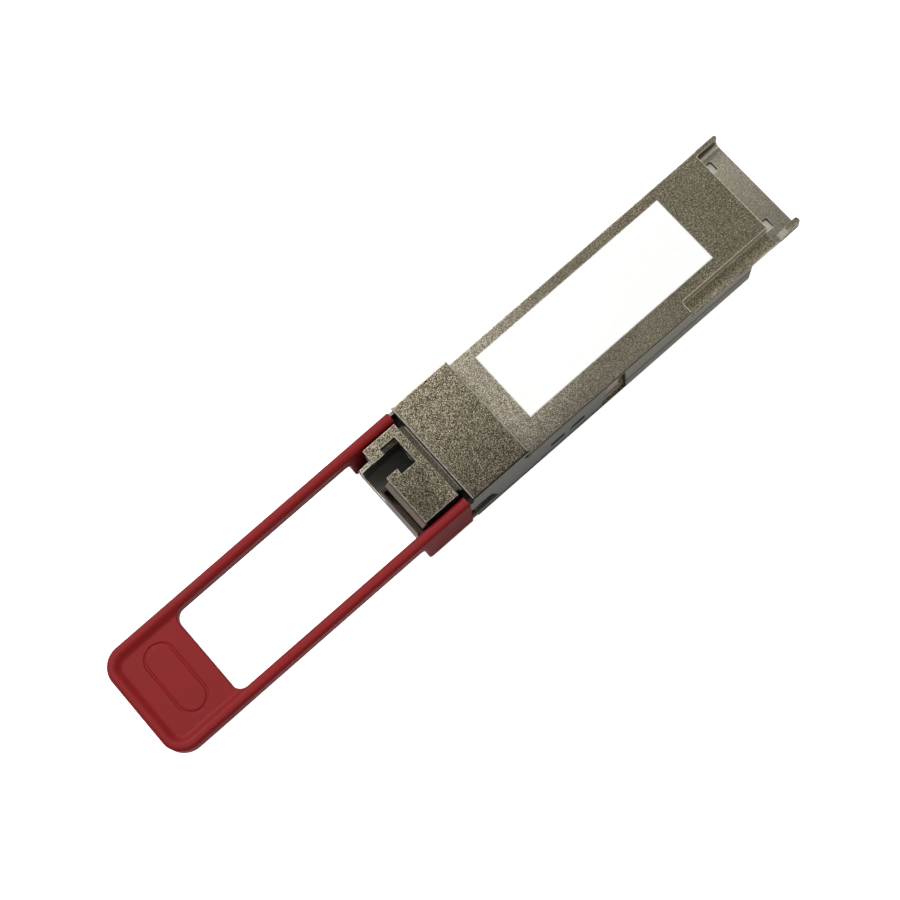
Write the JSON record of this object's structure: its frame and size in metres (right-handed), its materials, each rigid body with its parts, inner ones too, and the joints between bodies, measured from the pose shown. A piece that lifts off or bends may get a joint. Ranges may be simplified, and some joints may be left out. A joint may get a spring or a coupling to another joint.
{
  "type": "optical transceiver module",
  "caption": "Pluggable optical transceiver module with a die-cast shell, a single fibre port, a card-edge connector and a red pull tab that releases its cage latches",
  "frame": {"origin": "centre of the footprint on the plane of the heat-sink face", "axes": "+X towards the card-edge connector, +Y towards the fibre port's side, +Z out of the label face"},
  "size_m": [0.1192, 0.0184, 0.011],
  "materials": {
    "smooth_casting": "bead-blasted and plated casting, fine satin",
    "cast_nickel": "nickel-plated die-cast zinc, fine granular matte",
    "label_film": "white printed film, satin",
    "steel_screw": "zinc-plated steel",
    "conductive_rubber": "silver-filled silicone bead, dull",
    "circuit_card": "solder mask on glass-epoxy, satin green",
    "gold_contact": "hard gold over nickel",
    "sheet_steel": "rolled stainless sheet, satin",
    "turned_steel": "turned stainless steel",
    "zirconia": "polished white zirconia",
    "gold_plate": "gold-plated package",
    "flex_film": "amber polyimide film",
    "dark_plastic": "black moulded resin",
    "heat_pad": "gap-filling silicone pad",
    "package_epoxy": "black moulded package",
    "ferrite": "dark ferrite block",
    "chip_ceramic": "tan multilayer ceramic",
    "spring_wire": "drawn spring wire",
    "red_moulding": "red moulded thermoplastic, fine matte"
  },
  "bodies": {
    "housing": {"label_shell": "cast_nickel", "base_shell": "cast_nickel", "port_blank": "smooth_casting", "port_liner": "dark_plastic", "label": "label_film", "cover_screws": "steel_screw", "gasket_beads": "conductive_rubber", "paddle_card": "circuit_card", "edge_contacts": "gold_contact", "hood_plate": "sheet_steel", "fibre_barrel": "turned_steel", "split_sleeve": "zirconia", "fibre_stub": "zirconia", "optic_block": "turned_steel", "laser_can": "gold_plate", "receiver_can": "gold_plate", "laser_flex": "flex_film", "receiver_flex": "flex_film", "optic_cradle": "dark_plastic", "optic_heat_pad": "heat_pad", "signal_processor": "package_epoxy", "processor_heat_pad": "heat_pad", "laser_driver": "package_epoxy", "receiver_amplifier": "package_epoxy", "microcontroller": "package_epoxy", "clock_crystal": "sheet_steel", "power_inductors": "ferrite", "capacitors": "chip_ceramic", "return_spring_left": "spring_wire", "return_spring_right": "spring_wire"},
    "release": {"pull_tab": "red_moulding", "release_arm_left": "sheet_steel", "release_arm_right": "sheet_steel"}
  },
  "joints": [
    {"name": "release_slide", "type": "slide", "parent": "housing", "child": "release", "axis": [-1, 0, 0], "range_m": [0, 0.002], "stiffness_N_per_m": 900, "deforming": ["return_spring_left", "return_spring_right"]}
  ]
}
